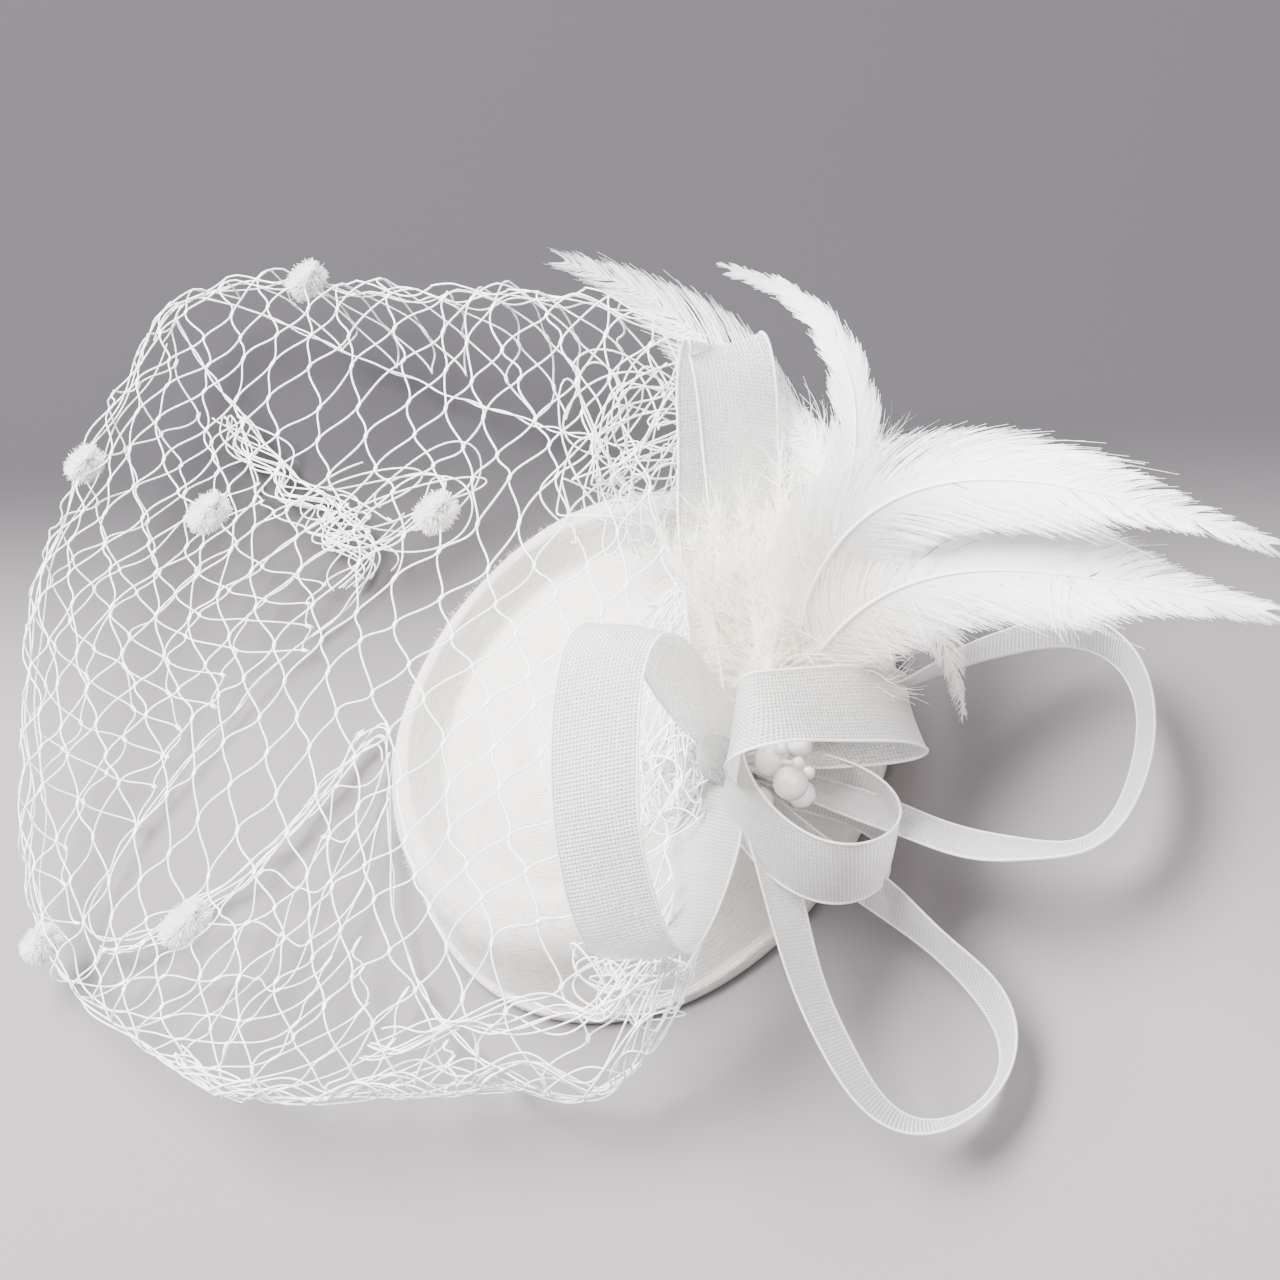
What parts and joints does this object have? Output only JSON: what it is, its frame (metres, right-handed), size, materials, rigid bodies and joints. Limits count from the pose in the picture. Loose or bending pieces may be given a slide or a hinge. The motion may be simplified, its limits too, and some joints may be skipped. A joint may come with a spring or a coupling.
{
  "type": "pillbox fascinator hat",
  "caption": "Small white felt pillbox fascinator with a gathered net veil with chenille dots, sinamay ribbon loops, pearl stamens and a feather plume.",
  "frame": {"origin": "Middle of the bounding box in X and Y, at the height of the hem that the hat stands on", "axes": "+Z is the hat's crown axis and points up, +Y points from the hat to the far end of the veil, and +X points to the side where the plume curls up"},
  "size_m": [0.2674, 0.4258, 0.1035],
  "materials": {
    "felt": "matt brushed wool felt with fine nap, warm white",
    "ribbon": "stiff open sinamay weave with slight sheen, white",
    "net": "thin twisted thread, white",
    "chenille": "fuzzy tufts, white",
    "pearl": "pearl lustre, ivory white",
    "feather": "soft barbs, cream at the root to white",
    "clip_steel": "nickel plated"
  },
  "bodies": {
    "root": {"felt_base": "felt", "hair_clip": "clip_steel", "pearl_1": "pearl", "pearl_2": "pearl", "pearl_3": "pearl", "pearl_4": "pearl", "pearl_5": "pearl", "bead_1": "pearl", "bead_2": "pearl", "bead_3": "pearl", "bow_centre": "ribbon", "loop_front": "ribbon", "loop_right": "ribbon", "loop_tall": "ribbon", "loop_wide": "ribbon", "tail_loop_low": "ribbon", "tail_loop_right": "ribbon", "feather_fluff": "feather", "feather_plume": "feather", "feather_quill": "feather", "feather_back": "feather", "feather_high": "feather", "feather_low": "feather", "feather_wisp": "feather", "veil_dot_1": "chenille", "veil_dot_2": "chenille", "veil_dot_3": "chenille", "veil_dot_4": "chenille", "veil_dot_5": "chenille", "veil_dot_6": "chenille", "veil_net": "net", "veil_tuck": "net"}
  },
  "joints": []
}
